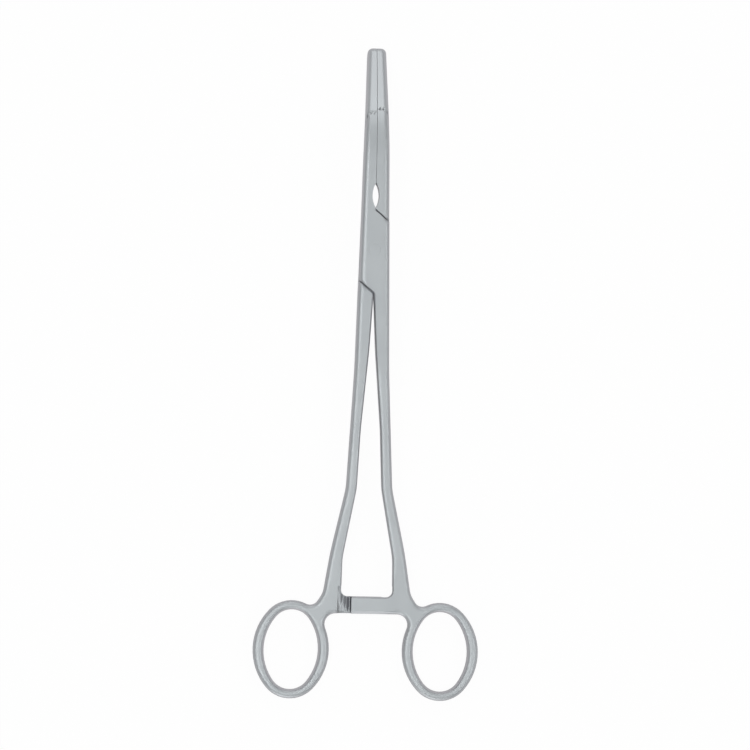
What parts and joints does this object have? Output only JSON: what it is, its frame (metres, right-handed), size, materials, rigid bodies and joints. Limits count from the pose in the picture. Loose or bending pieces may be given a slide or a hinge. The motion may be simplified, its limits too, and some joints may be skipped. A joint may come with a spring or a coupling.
{
  "type": "hysterectomy forceps",
  "caption": "Long clamping forceps with curved, grooved and cross-toothed jaws, a box lock, finger rings and a ratchet.",
  "frame": {"origin": "on the lock's front flat, on the axis of the lock pin", "axes": "+X across the instrument, +Y along it towards the jaw tips, +Z out of the lock's front flat, along the pin"},
  "size_m": [0.083, 0.2413, 0.0223],
  "materials": {
    "steel": "satin",
    "pin_steel": "satin"
  },
  "bodies": {
    "box_side": {"box_half": "steel", "pivot_pin": "pin_steel"},
    "tongue_side": {"tongue_half": "steel"}
  },
  "joints": [
    {"name": "jaw_pivot", "type": "hinge", "parent": "box_side", "child": "tongue_side", "pos_m": [0, 0, 0], "axis": [0, 0, -1], "range_deg": [0, 40]}
  ]
}
